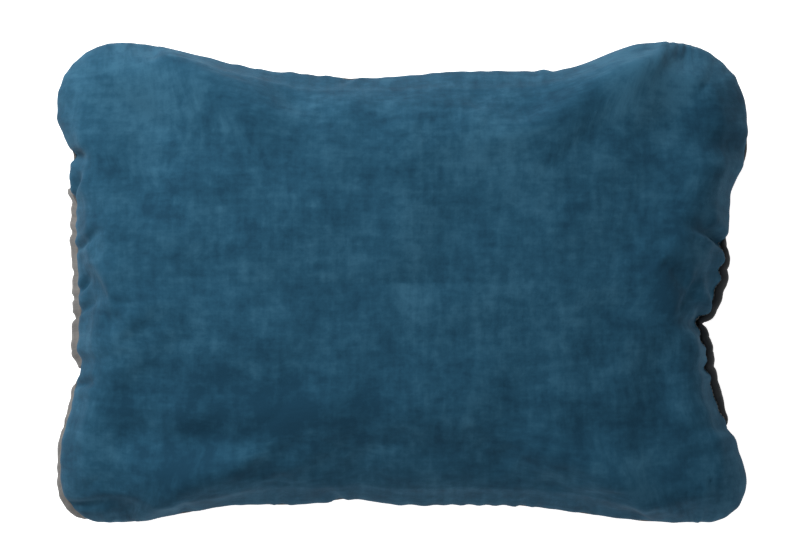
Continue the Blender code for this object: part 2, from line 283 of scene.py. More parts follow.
class Finish:
    """A node material under construction, with short calls for the nodes it is made of."""

    def __init__(self, name: str) -> None:
        """Start a Principled material of this name."""
        self.material = bpy.data.materials.new(name)
        self.material.use_nodes = True
        self.nodes = self.material.node_tree.nodes
        self.links = self.material.node_tree.links
        self.shader = self.nodes["Principled BSDF"]

    def set(self, **values: object) -> None:
        """Set the shader's own sockets, with underscores for the spaces in their names."""
        for name, value in values.items():
            self.shader.inputs[name.replace("_", " ")].default_value = value

    def plug(self, node: bpy.types.Node, socket: str, value: object) -> None:
        """Link a value's output to a socket, or set the socket if the value is plain."""
        if isinstance(value, bpy.types.NodeSocket):
            self.links.new(value, node.inputs[socket])
        elif value is not None:
            node.inputs[socket].default_value = value

    def place(self, stretch: tuple = (1.0, 1.0, 1.0), turn: float = 0.0, cloth: bool = True) -> object:
        """Coordinates on the cut cloth or on the object, stretched and turned about Z."""
        source = self.nodes.new("ShaderNodeTexCoord").outputs["UV" if cloth else "Object"]
        mapping = self.nodes.new("ShaderNodeMapping")
        mapping.inputs["Scale"].default_value = stretch
        mapping.inputs["Rotation"].default_value = (0.0, 0.0, turn)
        self.links.new(source, mapping.inputs["Vector"])
        return mapping.outputs["Vector"]

    def spot(self, place: tuple[float, float], reach: tuple[float, float], lift: float) -> object:
        """A soft spot on the object seen from above: `lift` at its place, and 0 past its reach."""
        mapping = self.nodes.new("ShaderNodeMapping")
        self.links.new(self.nodes.new("ShaderNodeTexCoord").outputs["Object"], mapping.inputs["Vector"])
        mapping.inputs["Scale"].default_value = (1 / reach[0], 1 / reach[1], 0.0)
        mapping.inputs["Location"].default_value = (-place[0] / reach[0], -place[1] / reach[1], 0.0)
        cone = self.nodes.new("ShaderNodeTexGradient")
        cone.gradient_type = "SPHERICAL"
        self.links.new(mapping.outputs["Vector"], cone.inputs["Vector"])
        soft = self.nodes.new("ShaderNodeMapRange")
        soft.interpolation_type = "SMOOTHSTEP"
        soft.inputs["To Max"].default_value = lift
        self.links.new(cone.outputs["Fac"], soft.inputs["Value"])
        return soft.outputs["Result"]

    def noise(self, where: object, scale: float, detail: float = 4.0, rough: float = 0.5) -> object:
        """Fractal noise, from about 0.3 to 0.7."""
        node = self.nodes.new("ShaderNodeTexNoise")
        self.plug(node, "Vector", where)
        self.plug(node, "Scale", scale)
        self.plug(node, "Detail", detail)
        self.plug(node, "Roughness", rough)
        return node.outputs["Fac"]

    def wave(self, where: object, scale: float, direction: str, distortion: float = 0.0) -> object:
        """Parallel ridges along one axis."""
        node = self.nodes.new("ShaderNodeTexWave")
        node.bands_direction = direction
        self.plug(node, "Vector", where)
        self.plug(node, "Scale", scale)
        self.plug(node, "Distortion", distortion)
        return node.outputs["Fac"]

    def math(self, operation: str, first: object, second: object = None) -> object:
        """A Math node of two values."""
        node = self.nodes.new("ShaderNodeMath")
        node.operation = operation
        for place, value in enumerate((first, second)):
            if isinstance(value, bpy.types.NodeSocket):
                self.links.new(value, node.inputs[place])
            elif value is not None:
                node.inputs[place].default_value = value
        return node.outputs[0]

    def mixed(self, *parts: tuple[float, object]) -> object:
        """The sum of values, from pairs of a weight and a value."""
        total = 0.0
        for weight, value in parts:
            share = value if weight == 1.0 else self.math("MULTIPLY", value, weight)
            total = self.math("ADD", share, total)
        return total

    def ramp(self, value: object, *stops: tuple[float, Colour]) -> object:
        """Colours along a value, from stops of a place and a colour."""
        node = self.nodes.new("ShaderNodeValToRGB")
        ramp = node.color_ramp
        while len(ramp.elements) < len(stops):
            ramp.elements.new(1.0)
        for element, (place, colour) in zip(ramp.elements, stops):
            element.position = place
            element.color = (*colour, 1.0)
        self.links.new(value, node.inputs["Fac"])
        return node.outputs["Color"]

    def blend(self, share: object, first: object, second: object, how: str = "MIX") -> object:
        """Mix two colours by a share."""
        node = self.nodes.new("ShaderNodeMix")
        node.data_type = "RGBA"
        node.blend_type = how
        node.clamp_result = True
        for place, value in ((0, share), (6, first), (7, second)):
            if isinstance(value, bpy.types.NodeSocket):
                self.links.new(value, node.inputs[place])
            else:
                node.inputs[place].default_value = value if place == 0 else (*value, 1.0)
        return node.outputs[2]

    def relief(self, height: object, strength: float, distance: float, over: object = None) -> object:
        """A bump from a height, laid over another bump."""
        node = self.nodes.new("ShaderNodeBump")
        node.inputs["Strength"].default_value = strength
        node.inputs["Distance"].default_value = distance
        self.plug(node, "Height", height)
        self.plug(node, "Normal", over)
        return node.outputs["Normal"]

    def weave(self, pitch: float) -> object:
        """Plain weave: warp and weft ridges of the given thread pitch, the higher one on top."""
        where = self.place()
        ridges = math.pi / (10 * pitch)
        warp = self.wave(where, ridges, "X", 0.6)
        weft = self.wave(where, ridges, "Y", 0.6)
        return self.math("MAXIMUM", warp, weft)

    def done(self, colour: object, rough: object, normal: object) -> bpy.types.Material:
        """Wire the last colour, roughness and normal to the shader."""
        self.plug(self.shader, "Base Color", colour)
        self.plug(self.shader, "Roughness", rough)
        self.plug(self.shader, "Normal", normal)
        return self.material


@dataclass(frozen=True)
class BrushedSuede:
    """Brushed face cloth: a short nap that lies this way and that in soft clouds and streaks, with spots of
    painted light and shade over it.
    """

    deep: Colour = (0.0092, 0.048, 0.088)
    middle: Colour = (0.0150, 0.070, 0.122)
    light: Colour = (0.0300, 0.106, 0.172)
    # Spots of painted light and shade, partly nap patches: x, y, reach in x and y, and lift.
    nap_and_painted_light_spots: tuple[tuple[float, ...], ...] = (
        (-0.120, -0.100, 0.140, 0.052, -0.095),
        (0.205, 0.165, 0.075, 0.062, 0.110),
        (0.007, 0.022, 0.026, 0.075, 0.060),
        (0.075, 0.098, 0.120, 0.060, 0.050),
        (-0.124, 0.076, 0.050, 0.036, -0.050),
        (0.203, 0.012, 0.042, 0.075, -0.060),
        (0.105, -0.010, 0.028, 0.085, 0.035),
        (-0.220, 0.160, 0.110, 0.085, 0.070),
        (0.125, -0.110, 0.110, 0.040, -0.045),
        (0.236, 0.125, 0.036, 0.036, -0.050),
        (-0.170, -0.148, 0.070, 0.030, -0.050),
    )

    def make(self) -> bpy.types.Material:
        """Build the material.

        Each spot lightens or darkens the nap's tone: its place, its reach and its lift, which is above 0 where
        it lightens. The spots are partly nap that lies another way and partly painted light and shade, lighter
        at the top and towards the upper left and darker towards the bottom.
        """
        finish = Finish("brushed_suede")
        clouds = finish.noise(finish.place((1.0, 1.15, 1.0)), 21.0, 6.0, 0.62)
        patches = finish.noise(finish.place(turn=0.4), 62.0, 4.0, 0.60)
        rows = finish.noise(finish.place((16.0, 130.0, 1.0), 0.06), 1.0, 4.0, 0.6)
        columns = finish.noise(finish.place((150.0, 20.0, 1.0), -0.05), 1.0, 4.0, 0.6)
        flecks = finish.noise(finish.place((1.0, 1.3, 1.0), -0.7), 150.0, 3.0, 0.6)
        # Spots of painted light and shade, partly nap patches, added into the nap's tone and its bump.
        nap_and_painted_light_spots = [(1.0, finish.spot(light_and_nap_spot[:2], light_and_nap_spot[2:4], light_and_nap_spot[4])) for light_and_nap_spot in self.nap_and_painted_light_spots]
        nap = finish.mixed((0.32, clouds), (0.15, rows), (0.15, columns), (0.26, patches),
                           (0.12, flecks), *nap_and_painted_light_spots)
        colour = finish.ramp(nap, (0.42, self.deep), (0.505, self.middle), (0.61, self.light))
        fibres = finish.noise(finish.place(), 1500.0, 3.0, 0.7)
        grain = finish.noise(finish.place(), 420.0, 3.0, 0.6)
        normal = finish.relief(grain, 0.22, 0.0010)
        normal = finish.relief(fibres, 0.25, 0.0004, normal)
        normal = finish.relief(nap, 0.25, 0.0040, normal)
        rough = finish.mixed((0.15, patches), (1.0, 0.80))
        finish.set(Sheen_Weight=0.05, Sheen_Roughness=0.45, Sheen_Tint=(0.28, 0.55, 0.75, 1.0))
        finish.set(Specular_IOR_Level=0.10)
        return finish.done(colour, rough, normal)


@dataclass(frozen=True)
class PlainWeave:
    """Woven polyester in one yarn colour, with a slight unevenness from thread to thread."""

    name: str
    dark: Colour
    light: Colour
    pitch: float = 0.0007
    gloss: float = 0.25

    def make(self) -> bpy.types.Material:
        """Build the material."""
        finish = Finish(self.name)
        threads = finish.weave(self.pitch)
        slubs = finish.noise(finish.place((30.0, 700.0, 1.0)), 1.0, 2.0, 0.5)
        worn = finish.noise(finish.place(), 45.0, 5.0, 0.6)
        cloth = finish.ramp(finish.mixed((0.25, slubs), (0.75, worn)), (0.36, self.dark), (0.64, self.light))
        shade = finish.ramp(threads, (0.25, (0.62, 0.62, 0.62)), (0.85, (1.0, 1.0, 1.0)))
        colour = finish.blend(1.0, cloth, shade, "MULTIPLY")
        normal = finish.relief(worn, 0.20, 0.0015)
        normal = finish.relief(threads, 0.45, 0.00025, normal)
        rough = finish.mixed((0.25, worn), (1.0, 0.62))
        finish.set(Sheen_Weight=0.12, Sheen_Roughness=0.4, Specular_IOR_Level=self.gloss)
        return finish.done(colour, rough, normal)


@dataclass(frozen=True)
class SpunThread:
    """Twisted sewing thread."""

    name: str
    dark: Colour
    light: Colour

    def make(self) -> bpy.types.Material:
        """Build the material."""
        finish = Finish(self.name)
        where = finish.place(turn=0.6, cloth=False)
        plies = finish.wave(where, 260.0, "DIAGONAL", 1.5)
        lint = finish.noise(where, 900.0, 3.0, 0.6)
        colour = finish.ramp(finish.mixed((0.5, plies), (0.5, lint)), (0.30, self.dark), (0.75, self.light))
        normal = finish.relief(plies, 0.5, 0.0002)
        finish.set(Sheen_Weight=0.2, Specular_IOR_Level=0.35)
        return finish.done(colour, 0.55, normal)


@dataclass(frozen=True)
class CutFoam:
    """Open-cell foam chips: warm cream, pitted and slightly mixed in colour."""

    pale: Colour = (0.62, 0.57, 0.42)
    deep: Colour = (0.40, 0.34, 0.22)

    def make(self) -> bpy.types.Material:
        """Build the material."""
        finish = Finish("cut_foam")
        where = finish.place(cloth=False)
        chips = finish.nodes.new("ShaderNodeTexVoronoi")
        finish.plug(chips, "Vector", where)
        finish.plug(chips, "Scale", 75.0)
        cells = finish.noise(where, 1100.0, 3.0, 0.6)
        tone = finish.mixed((1.0, chips.outputs["Distance"]), (0.5, cells))
        colour = finish.ramp(tone, (0.25, self.pale), (0.95, self.deep))
        normal = finish.relief(chips.outputs["Distance"], 0.6, 0.004)
        normal = finish.relief(cells, 0.4, 0.0006, normal)
        finish.set(Specular_IOR_Level=0.2)
        return finish.done(colour, 0.95, normal)


@dataclass(frozen=True)
class SatinTape:
    """Printed-label tape, left blank: fine ribs with a soft shine."""

    def make(self) -> bpy.types.Material:
        """Build the material."""
        finish = Finish("satin_tape")
        where = finish.place()
        ribs = finish.wave(where, 500.0, "Y", 0.3)
        dust = finish.noise(where, 90.0, 4.0, 0.6)
        colour = finish.ramp(dust, (0.35, (0.56, 0.55, 0.52)), (0.65, (0.70, 0.69, 0.66)))
        normal = finish.relief(ribs, 0.35, 0.00015)
        finish.set(Specular_IOR_Level=0.45, Sheen_Weight=0.1)
        return finish.done(colour, 0.42, normal)


@dataclass(frozen=True)
class StudioFloor:
    """A pale matt table top, lit a little from inside so that shadows on it stay faint."""

    def make(self) -> bpy.types.Material:
        """Build the material."""
        finish = Finish("studio_floor")
        paper = finish.noise(finish.place(cloth=False), 6.0, 3.0, 0.5)
        colour = finish.ramp(paper, (0.3, (0.90, 0.90, 0.90)), (0.7, (0.92, 0.92, 0.92)))
        finish.set(Specular_IOR_Level=0.1, Emission_Color=(1.0, 1.0, 1.0, 1.0), Emission_Strength=0.8)
        return finish.done(colour, 0.9, None)


# ------------------------------------------------------------
# The casing's outline
# ------------------------------------------------------------


@dataclass(frozen=True)
class Dent:
    """A local dent in a side: its place along the side, its depth and its width."""

    along: float
    depth: float
    width: float

    def at(self, along: Array) -> Array:
        """Depth along a side, a bell curve."""
        return self.depth * bell((along - self.along) / self.width)


@dataclass(frozen=True)
class Waist:
    """How a side draws in between its corners: a level stretch, a shoulder at each end, and dents.

    A shoulder starts at low or high, and reaches the full depth low_run or high_run further in.
    """

    depth: float
    low: float
    low_run: float
    high: float
    high_run: float
    dents: tuple[Dent, ...] = ()

    def at(self, along: Array) -> Array:
        """Depth along a side."""
        rise = smooth_step((along - self.low) / self.low_run)
        fall = smooth_step((self.high - along) / self.high_run)
        return self.depth * rise * fall + sum(dent.at(along) for dent in self.dents)


@dataclass
class Outline:
    """The stuffed casing's edge seen from above, inside the box of the CAD panels."""

    corners: tuple[float, ...] = (0.062, 0.052, 0.036, 0.034)
    mouth: Waist = Waist(0.0145, -0.165, 0.060, 0.110, 0.045, (Dent(-0.065, 0.0110, 0.040),))
    far: Waist = Waist(0.0235, -0.232, 0.140, 0.205, 0.085, (Dent(-0.030, 0.0060, 0.050),))
    closed: Waist = Waist(0.0112, -0.1420, 0.055, 0.1350, 0.030,
                          (Dent(0.100, 0.0025, 0.010), Dent(-0.0725, 0.0080, 0.010),
                           Dent(-0.020, 0.0028, 0.030)))
    near: Waist = Waist(0.0145, -0.235, 0.110, 0.225, 0.150, (Dent(-0.040, 0.0052, 0.025),))
    pinch_y: float = -0.0335
    pinch_depth: float = 0.0150
    pinch_width: float = 0.0120
    pinch_tip: float = 0.0030
    tube: float = 0.0041
    tube_end: float = 0.0016
    overhang_most: float = 0.0050

    def __post_init__(self) -> None:
        """Read the casing's box and the mouth's ends from the frame."""
        low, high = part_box("back_panel")
        self.half_length, self.half_width = high.x, high.y
        tunnel_low, tunnel_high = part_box("mouth_tunnel")
        self.mouth_near, self.mouth_far = tunnel_low.y, tunnel_high.y
        self.seam_height = (tunnel_high.z + tunnel_low.z) / 2
        self.lip_lift = (tunnel_high.z - tunnel_low.z) / 2 - 0.0035

    def mouth_end_x(self, y: Array) -> Array:
        """X of the edge at the mouth's end, tunnel included."""
        away = np.sqrt((y - self.pinch_y) ** 2 + self.pinch_tip**2) - self.pinch_tip
        return self.half_length - self.mouth.at(y) - self.pinch_depth * np.exp(-away / self.pinch_width)

    def mouth_share(self, y: Array, blend: float = 0.010) -> Array:
        """1 along the mouth, and 0 past its ends."""
        return smooth_step(np.minimum(self.mouth_far - y, y - self.mouth_near) / blend + 1.0)

    def tube_radius(self, y: Array) -> Array:
        """Radius of the tunnel along a lip: full in the middle, thin at its ends."""
        ends = smooth_step((self.mouth_far + 0.004 - y) / 0.034)
        ends = ends * smooth_step((y - self.mouth_near + 0.002) / 0.030)
        pinched = 1 - 0.5 * bell((y - self.pinch_y) / 0.006)
        return self.tube_end + (self.tube - self.tube_end) * ends * pinched

    def loop(self, steps: int = 160) -> Array:
        """The whole edge as a dense loop of points, anticlockwise from the mouth's near corner."""
        half_x, half_y, corner = self.half_length, self.half_width, self.corners
        mouth_y = np.linspace(corner[3] - half_y, half_y - corner[0], steps)
        far_x = np.linspace(half_x - corner[0], corner[1] - half_x, steps)
        closed_y = np.linspace(half_y - corner[1], corner[2] - half_y, steps)
        near_x = np.linspace(corner[2] - half_x, half_x - corner[3], steps)
        sides = (
            np.column_stack([self.mouth_end_x(mouth_y), mouth_y]),
            np.column_stack([far_x, half_y - self.far.at(far_x)]),
            np.column_stack([self.closed.at(closed_y) - half_x, closed_y]),
            np.column_stack([near_x, self.near.at(near_x) - half_y]),
        )
        turn = np.linspace(0.0, math.pi / 2, steps // 3)[1:-1]
        parts = []
        for quarter, (side, round_off) in enumerate(zip(sides, corner)):
            angle = turn + quarter * math.pi / 2
            middle_x = (half_x - round_off) * (1 if quarter in (0, 3) else -1)
            middle_y = (half_y - round_off) * (1 if quarter < 2 else -1)
            arc = np.column_stack([middle_x + round_off * np.cos(angle),
                                   middle_y + round_off * np.sin(angle)])
            parts += [side, arc]
        return np.concatenate(parts)

    def radius(self, angle: Array) -> Array:
        """Distance from the middle to the covers' edge at an angle, inside the tunnel."""
        loop = self.loop()
        turn = np.arctan2(loop[:, 1], loop[:, 0])
        room = np.where(loop[:, 0] > 0, self.mouth_share(loop[:, 1]), 0.0)
        reach = np.hypot(loop[:, 0], loop[:, 1]) - room * (2 * self.tube_radius(loop[:, 1]) + 0.0003)
        order = np.argsort(turn)
        return np.interp(angle, turn[order], reach[order], period=2 * math.pi)

    def overhang(self, angle: Array) -> Array:
        """How far the back bulges past the seam at an angle: along the closed end and its near corner."""
        y = 0.268 * np.tan(math.pi - angle)
        strip = smooth_step((0.084 - y) / 0.024) * smooth_step((y + 0.076) / 0.012)
        end = np.where(np.cos(angle) < -0.8, strip, 0.0)
        corner = 0.65 * smooth_step((-2.47 - angle) / 0.06) * smooth_step((angle + 2.86) / 0.04)
        return self.overhang_most * (end + corner)


# ------------------------------------------------------------
# The covers
# ------------------------------------------------------------


@dataclass(frozen=True)
class Fold:
    """A crease in a cover: a valley with raised shoulders that runs from its root to its tip."""

    root: tuple[float, float]
    tip: tuple[float, float]
    width: float
    depth: float

    def relief(self, place: Array) -> Array:
        """Height along the normal: a valley with shoulders, which fades from the root to the tip.

        Args:
            place: Points seen from above.

        Returns:
            The height at each point, negative in the valley.
        """
        root, tip = np.array(self.root), np.array(self.tip)
        run = tip - root
        length = np.linalg.norm(run)
        along = ((place - root) @ run) / length**2
        side = ((place - root) @ np.array((-run[1], run[0]))) / length
        spread = self.width * (0.7 + 0.6 * np.clip(along, 0.0, 1.0))
        fade = smooth_step((along + 0.5) / 0.5) * (1 - smooth_step((along - 0.2) / 0.9))
        section = (1 - 0.9 * (side / spread) ** 2) * bell(side / spread / 1.25)
        return -self.depth * section * fade


FACE_FOLDS = (
    Fold((-0.2604, 0.0299), (-0.2335, 0.0455), 0.0045, 0.0033),
    Fold((-0.2613, -0.0225), (-0.2400, -0.0105), 0.0045, 0.0036),
    Fold((-0.2604, -0.0045), (-0.2510, 0.0060), 0.0040, 0.0045),
    Fold((-0.2640, -0.0830), (-0.2400, -0.0770), 0.0050, 0.0048),
    Fold((-0.2700, 0.1040), (-0.2490, 0.0990), 0.0055, 0.0060),
    Fold((-0.2670, 0.0700), (-0.2560, 0.0960), 0.0050, 0.0052),
    Fold((-0.2637, -0.1806), (-0.2150, -0.1750), 0.0055, 0.0030),
    Fold((-0.1785, -0.1900), (-0.1700, -0.1740), 0.0060, 0.0033),
    Fold((-0.0380, 0.1690), (-0.0600, 0.1600), 0.0050, 0.0027),
    Fold((0.2640, 0.0300), (0.2290, 0.0560), 0.0060, 0.0072),
    Fold((0.2450, 0.0390), (0.2180, 0.0480), 0.0050, 0.0042),
    Fold((0.2500, -0.0300), (0.2330, 0.0130), 0.0065, -0.0052),
    Fold((0.2480, -0.0380), (0.2240, -0.0190), 0.0060, -0.0042),
    Fold((0.2540, -0.0335), (0.2200, -0.0280), 0.0080, 0.0060),
    Fold((0.2480, -0.0700), (0.2240, -0.0610), 0.0070, 0.0021),
    Fold((0.2620, -0.1180), (0.2280, -0.1130), 0.0080, 0.0030),
    Fold((0.2790, 0.1080), (0.2060, 0.1230), 0.0140, 0.0045),
    Fold((-0.0991, -0.1860), (-0.0940, -0.1640), 0.0050, 0.0030),
    Fold((-0.0480, -0.1810), (-0.0650, -0.1610), 0.0055, 0.0033),
    Fold((0.0983, -0.1860), (0.1030, -0.1660), 0.0050, 0.0027),
    Fold((0.1499, -0.1900), (0.1430, -0.1700), 0.0055, 0.0027),
    Fold((0.1960, -0.1930), (0.1700, -0.1790), 0.0060, 0.0033),
    Fold((-0.1400, -0.1270), (0.1600, -0.1300), 0.0240, 0.0050),
)

BACK_FOLDS = (
    Fold((-0.2720, 0.0410), (-0.2540, 0.0400), 0.0048, 0.0013),
    Fold((-0.2720, 0.0080), (-0.2540, 0.0090), 0.0051, 0.0012),
    Fold((-0.2720, -0.0130), (-0.2540, -0.0110), 0.0042, 0.0023),
    Fold((-0.2720, -0.0290), (-0.2540, -0.0270), 0.0045, 0.0026),
    Fold((-0.2720, -0.0560), (-0.2540, -0.0560), 0.0054, 0.0013),
    Fold((-0.2780, -0.1180), (-0.2600, -0.1150), 0.0051, 0.0017),
    Fold((-0.2800, -0.1480), (-0.2620, -0.1440), 0.0051, 0.0014),
)


@dataclass
class Casing:
    """The two covers, sewn together along one seam and stuffed."""

    outline: Outline
    flat_length: float = 0.584
    flat_width: float = 0.406
    flat_corner: float = 0.045
    columns: int = 110
    pressure: float = 1.5
    frames: int = 40
    cloth: float = 0.0012
    seam_turn: float = 0.0070
    pucker: float = 0.0010
    dome: tuple[float, float] = (2.2, 0.62)
    calm_share: float = 0.9
    calm_reach: float = 0.045
    calm_rounds: int = 40
    roll: float = 0.0030
    foot_knee: float = 0.006
    foot_press: float = 1.24
    bulge_place: float = 0.0085
    bulge_past: float = 0.0030

    def __post_init__(self) -> None:
        """Read the heights that the covers keep from the frame."""
        self.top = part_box("front_panel")[1].z
        self.seam = self.outline.seam_height

    def build(self) -> None:
        """Cut, inflate, settle and wrinkle the covers, and keep their grids."""
        flat, bump = self.blank()
        face, back = self.inflate(flat, bump)
        flat, face, back = finer(flat), finer(face), finer(back)
        self.flat = flat
        self.along, self.edge = self.rim_place(flat)
        face, back = self.settle_shape(face, back)
        back = self.bulge(back)
        face = self.wrinkle(self.open_lip(face, Side.FACE), Side.FACE)
        back = self.wrinkle(self.open_lip(back, Side.BACK), Side.BACK)
        above = np.maximum(face[..., 2] - self.seam, 0.0)
        face[..., 2] -= above * (1 - (self.top - self.seam) / above.max())
        back[..., 2] = np.maximum(back[..., 2], 0.0)
        self.face, self.back = face, back

    def near_rim(self, reach: float) -> Array:
        """A share that is 1 at the seam and dies away inside, over the given reach."""
        return np.exp(-self.edge / reach)

    def hump(self, place: float) -> Array:
        """A hump beside the seam: 0 at it, 1 at the given distance inside, and dying away."""
        return self.edge / place * np.exp(1 - self.edge / place)

    def blank(self) -> tuple[Array, Array]:
        """Cut the cloth: a rounded rectangle as a grid, its corner squares mapped to quarter discs.

        Returns:
            The grid's places on the flat cloth, and a bump that is 1 in the middle and 0 on the rim.
        """
        rows = round(self.columns * self.flat_width / self.flat_length)
        u, v = np.meshgrid(np.linspace(-1, 1, self.columns + 1), np.linspace(-1, 1, rows + 1))
        x, y = u * self.flat_length / 2, v * self.flat_width / 2
        inner_x, inner_y = self.flat_length / 2 - self.flat_corner, self.flat_width / 2 - self.flat_corner
        over_x = np.clip(abs(x) - inner_x, 0.0, None) / self.flat_corner
        over_y = np.clip(abs(y) - inner_y, 0.0, None) / self.flat_corner
        x = np.sign(x) * (np.minimum(abs(x), inner_x) + self.flat_corner * over_x * np.sqrt(1 - over_y**2 / 2))
        y = np.sign(y) * (np.minimum(abs(y), inner_y) + self.flat_corner * over_y * np.sqrt(1 - over_x**2 / 2))
        return np.stack([x, y], axis=-1), (1 - u**2) * (1 - v**2)

    def rim_place(self, flat: Array) -> tuple[Array, Array]:
        """Where each point of the cloth lies along the seam, as a share of it, and how far inside."""
        inner_x, inner_y = self.flat_length / 2 - self.flat_corner, self.flat_width / 2 - self.flat_corner
        past_x, past_y = abs(flat[..., 0]) - inner_x, abs(flat[..., 1]) - inner_y
        rounded = (past_x > 0) & (past_y > 0)
        turn = np.arctan2(past_y, past_x)
        straight = np.where(
            past_x > past_y,
            np.minimum(abs(flat[..., 1]), inner_y),
            inner_y + self.flat_corner * math.pi / 2 + inner_x - np.minimum(abs(flat[..., 0]), inner_x),
        )
        along = np.where(rounded, inner_y + self.flat_corner * turn, straight)
        quarter = inner_x + inner_y + self.flat_corner * math.pi / 2
        right, up = flat[..., 0] >= 0, flat[..., 1] >= 0
        along = np.select([right & up, ~right & up, ~right], [along, 2 * quarter - along, 2 * quarter + along],
                          4 * quarter - along)
        edge = self.flat_corner - np.where(rounded, np.hypot(past_x, past_y), np.maximum(past_x, past_y))
        return along / (4 * quarter), np.maximum(edge, 0.0)

    def inflate(self, flat: Array, bump: Array) -> tuple[Array, Array]:
        """Sew two blanks along their rims and inflate them by cloth simulation.

        Args:
            flat: The grid's places on the flat cloth.
            bump: How far each point starts from the seam's plane, as a share.

        Returns:
            The grids of the face cover and the back cover, which share their rims.
        """
        count = bump.size
        face = np.arange(count).reshape(bump.shape)
        back = face.copy()
        inner = np.zeros(bump.shape, bool)
        inner[1:-1, 1:-1] = True
        back[inner] = count + np.arange(inner.sum())
        start = 0.004
        points = np.concatenate([
            np.dstack([flat, start * bump]).reshape(-1, 3),
            np.column_stack([flat[inner], -start * bump[inner]]),
        ])
        casing = make_piece("casing_blank", points, np.concatenate([grid_quads(face), grid_quads(back, True)]))

        modifier = casing.modifiers.new("inflate", "CLOTH")
        cloth = modifier.settings
        cloth.quality = 5
        cloth.mass = 0.1
        cloth.tension_stiffness = cloth.compression_stiffness = 15.0
        cloth.shear_stiffness = 7.5
        cloth.bending_stiffness = 1.0
        cloth.use_pressure = True
        cloth.uniform_pressure_force = self.pressure
        cloth.effector_weights.gravity = 0.0
        modifier.collision_settings.use_collision = False
        scene = bpy.context.scene
        frames = self.frames
        scene.frame_start, scene.frame_end = 1, frames
        modifier.point_cache.frame_end = frames
        for number in range(1, frames + 1):
            scene.frame_set(number)
        evaluated = casing.evaluated_get(bpy.context.evaluated_depsgraph_get()).data
        moved = np.empty(len(points) * 3)
        evaluated.vertices.foreach_get("co", moved)
        moved = moved.reshape(-1, 3)
        scene.frame_set(1)
        bpy.data.objects.remove(casing, do_unlink=True)
        LOG.info("inflated casing: %s m", np.ptp(moved, axis=0).round(4).tolist())
        return moved[face], moved[back]

    def settle_shape(self, face: Array, back: Array) -> tuple[Array, Array]:
        """Bring the inflated covers to the casing's outline, seam height, crown and flat foot.

        Each point is scaled away from the middle by the ratio of the wanted edge to the simulated
        one at its angle, in full at the seam and not at all in the middle.

        Args:
            face: The face cover's grid.
            back: The back cover's grid.

        Returns:
            The two grids in the pillow's own frame.
        """
        rim = rim_order(*self.edge.shape)
        loop = face.reshape(-1, 3)[rim]
        middle = (loop.min(axis=0) + loop.max(axis=0)) / 2
        loop = loop - middle
        turns = np.linspace(-math.pi, math.pi, 721)[:-1]
        turn = np.arctan2(loop[:, 1], loop[:, 0])
        order = np.argsort(turn)
        reach = np.interp(turns, turn[order], np.hypot(loop[:, 0], loop[:, 1])[order], period=2 * math.pi)
        tilt = np.interp(turns, turn[order], loop[order, 2], period=2 * math.pi)
        for _ in range(12):
            reach = (np.roll(reach, 1) + 2 * reach + np.roll(reach, -1)) / 4
            tilt = (np.roll(tilt, 1) + 2 * tilt + np.roll(tilt, -1)) / 4
        shaped = []
        calm = self.calm_share * bell(self.edge / self.calm_reach)[..., None]
        for grid, side in ((face - middle, Side.FACE), (back - middle, Side.BACK)):
            grid = grid + (blur(grid, self.calm_rounds) - grid) * calm
            angle = np.arctan2(grid[..., 1], grid[..., 0])
            now = np.interp(angle, turns, reach, period=2 * math.pi)
            wanted = self.outline.radius(angle) - self.outline.overhang(angle)
            share = np.clip(np.hypot(grid[..., 0], grid[..., 1]) / now, 0.0, 1.0)
            scale = 1 + (wanted / now - 1) * share**2
            z = grid[..., 2] - np.interp(angle, turns, tilt, period=2 * math.pi) * self.near_rim(0.040)
            rise = self.round_off(side.value * z)
            z = (self.top - self.seam) * rise if side is Side.FACE else -self.flat_foot(rise)
            shaped.append(np.stack([grid[..., 0] * scale, grid[..., 1] * scale, z], axis=-1))
        return self.pin_rim(shaped[0], Side.FACE), self.pin_rim(shaped[1], Side.BACK)

    def pin_rim(self, grid: Array, side: Side) -> Array:
        """Move a cover's rim onto the seam's line, and carry the cloth beside it along.

        Args:
            grid: A cover's grid, its heights counted from the seam.
            side: Which cover it is. The face rolls out over the seam, and the back tucks under it.

        Returns:
            The grid in the pillow's own frame.
        """
        rim = rim_order(*self.edge.shape)
        loop, place = grid.reshape(-1, 3)[rim], self.along.reshape(-1)[rim]
        angle = np.arctan2(loop[:, 1], loop[:, 0])
        reach = self.outline.radius(angle) - self.outline.overhang(angle)
        wanted = np.column_stack([reach * np.cos(angle), reach * np.sin(angle), np.zeros(len(rim))])
        order = np.argsort(place)
        carried = self.near_rim(0.022)
        moved = grid.copy()
        for axis in range(3):
            shift = np.interp(self.along, place[order], (wanted - loop)[order, axis], period=1.0)
            moved[..., axis] += shift * carried
        turn = np.arctan2(moved[..., 1], moved[..., 0])
        hump = self.hump(0.009)
        reach = np.hypot(moved[..., 0], moved[..., 1])
        limit = self.outline.radius(turn) - self.outline.overhang(turn)
        blend = 0.0025 * (1 - self.near_rim(0.006)) + 1e-5
        if side is Side.FACE:
            wanted = soft_least(reach + self.roll * hump, limit + 0.0004, blend)
        else:
            limit = limit - 0.0016 * (1 - self.near_rim(0.003))
            wanted = soft_least(reach - self.roll * hump, limit, blend)
        moved[..., :2] *= (wanted / np.maximum(reach, 1e-6))[..., None]
        least = 0.55 * self.edge * self.near_rim(0.030)
        moved[..., 2] = side.value * np.maximum(side.value * moved[..., 2], least) + self.seam
        return moved

